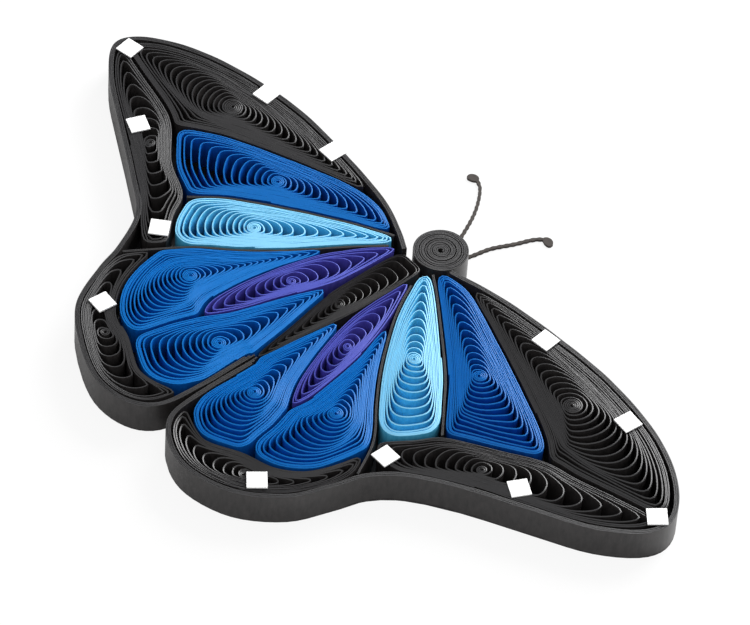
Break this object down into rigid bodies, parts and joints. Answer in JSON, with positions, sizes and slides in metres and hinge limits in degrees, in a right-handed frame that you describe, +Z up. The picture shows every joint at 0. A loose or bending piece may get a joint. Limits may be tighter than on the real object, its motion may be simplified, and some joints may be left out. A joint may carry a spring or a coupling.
{
  "type": "quilled paper butterfly",
  "caption": "Flat paper butterfly with open wings: rolled strips on edge fill layered borders on base sheets, with flat square spots, a coil head and body, and flat antennae.",
  "frame": {"origin": "on the base plane, under the middle of the whole outline", "axes": "+Z up, away from the base plane; +X towards the tip of the right wing; +Y along the body, towards the antennae"},
  "size_m": [0.073, 0.044, 0.0034],
  "materials": {
    "black_paper": "matt uncoated strip paper",
    "royal_blue_paper": "matt uncoated strip paper",
    "bright_blue_paper": "matt uncoated strip paper",
    "pale_blue_paper": "matt uncoated strip paper",
    "violet_paper": "matt uncoated strip paper",
    "white_paper": "matt cut paper",
    "brown_paper": "matt cut paper"
  },
  "bodies": {
    "root": {"right_base": "black_paper", "right_border": "black_paper", "right_fore_divider": "black_paper", "right_wing_divider": "black_paper", "right_leading_coil": "black_paper", "right_margin_coil": "black_paper", "right_forewing_coil": "royal_blue_paper", "right_pale_coil": "pale_blue_paper", "right_hind_margin_coil": "black_paper", "right_hindwing_coil": "bright_blue_paper", "right_violet_coil": "violet_paper", "right_inner_coil": "bright_blue_paper", "right_spot_1": "white_paper", "right_spot_2": "white_paper", "right_spot_3": "white_paper", "right_spot_4": "white_paper", "right_spot_5": "white_paper", "right_spot_6": "white_paper", "right_antenna": "brown_paper", "left_base": "black_paper", "left_border": "black_paper", "left_fore_divider": "black_paper", "left_wing_divider": "black_paper", "left_leading_coil": "black_paper", "left_margin_coil": "black_paper", "left_forewing_coil": "royal_blue_paper", "left_pale_coil": "pale_blue_paper", "left_hind_margin_coil": "black_paper", "left_hindwing_coil": "bright_blue_paper", "left_violet_coil": "violet_paper", "left_inner_coil": "bright_blue_paper", "left_spot_1": "white_paper", "left_spot_2": "white_paper", "left_spot_3": "white_paper", "left_spot_4": "white_paper", "left_spot_5": "white_paper", "left_spot_6": "white_paper", "left_antenna": "brown_paper", "body_coil": "black_paper", "head_coil": "black_paper"}
  },
  "joints": []
}
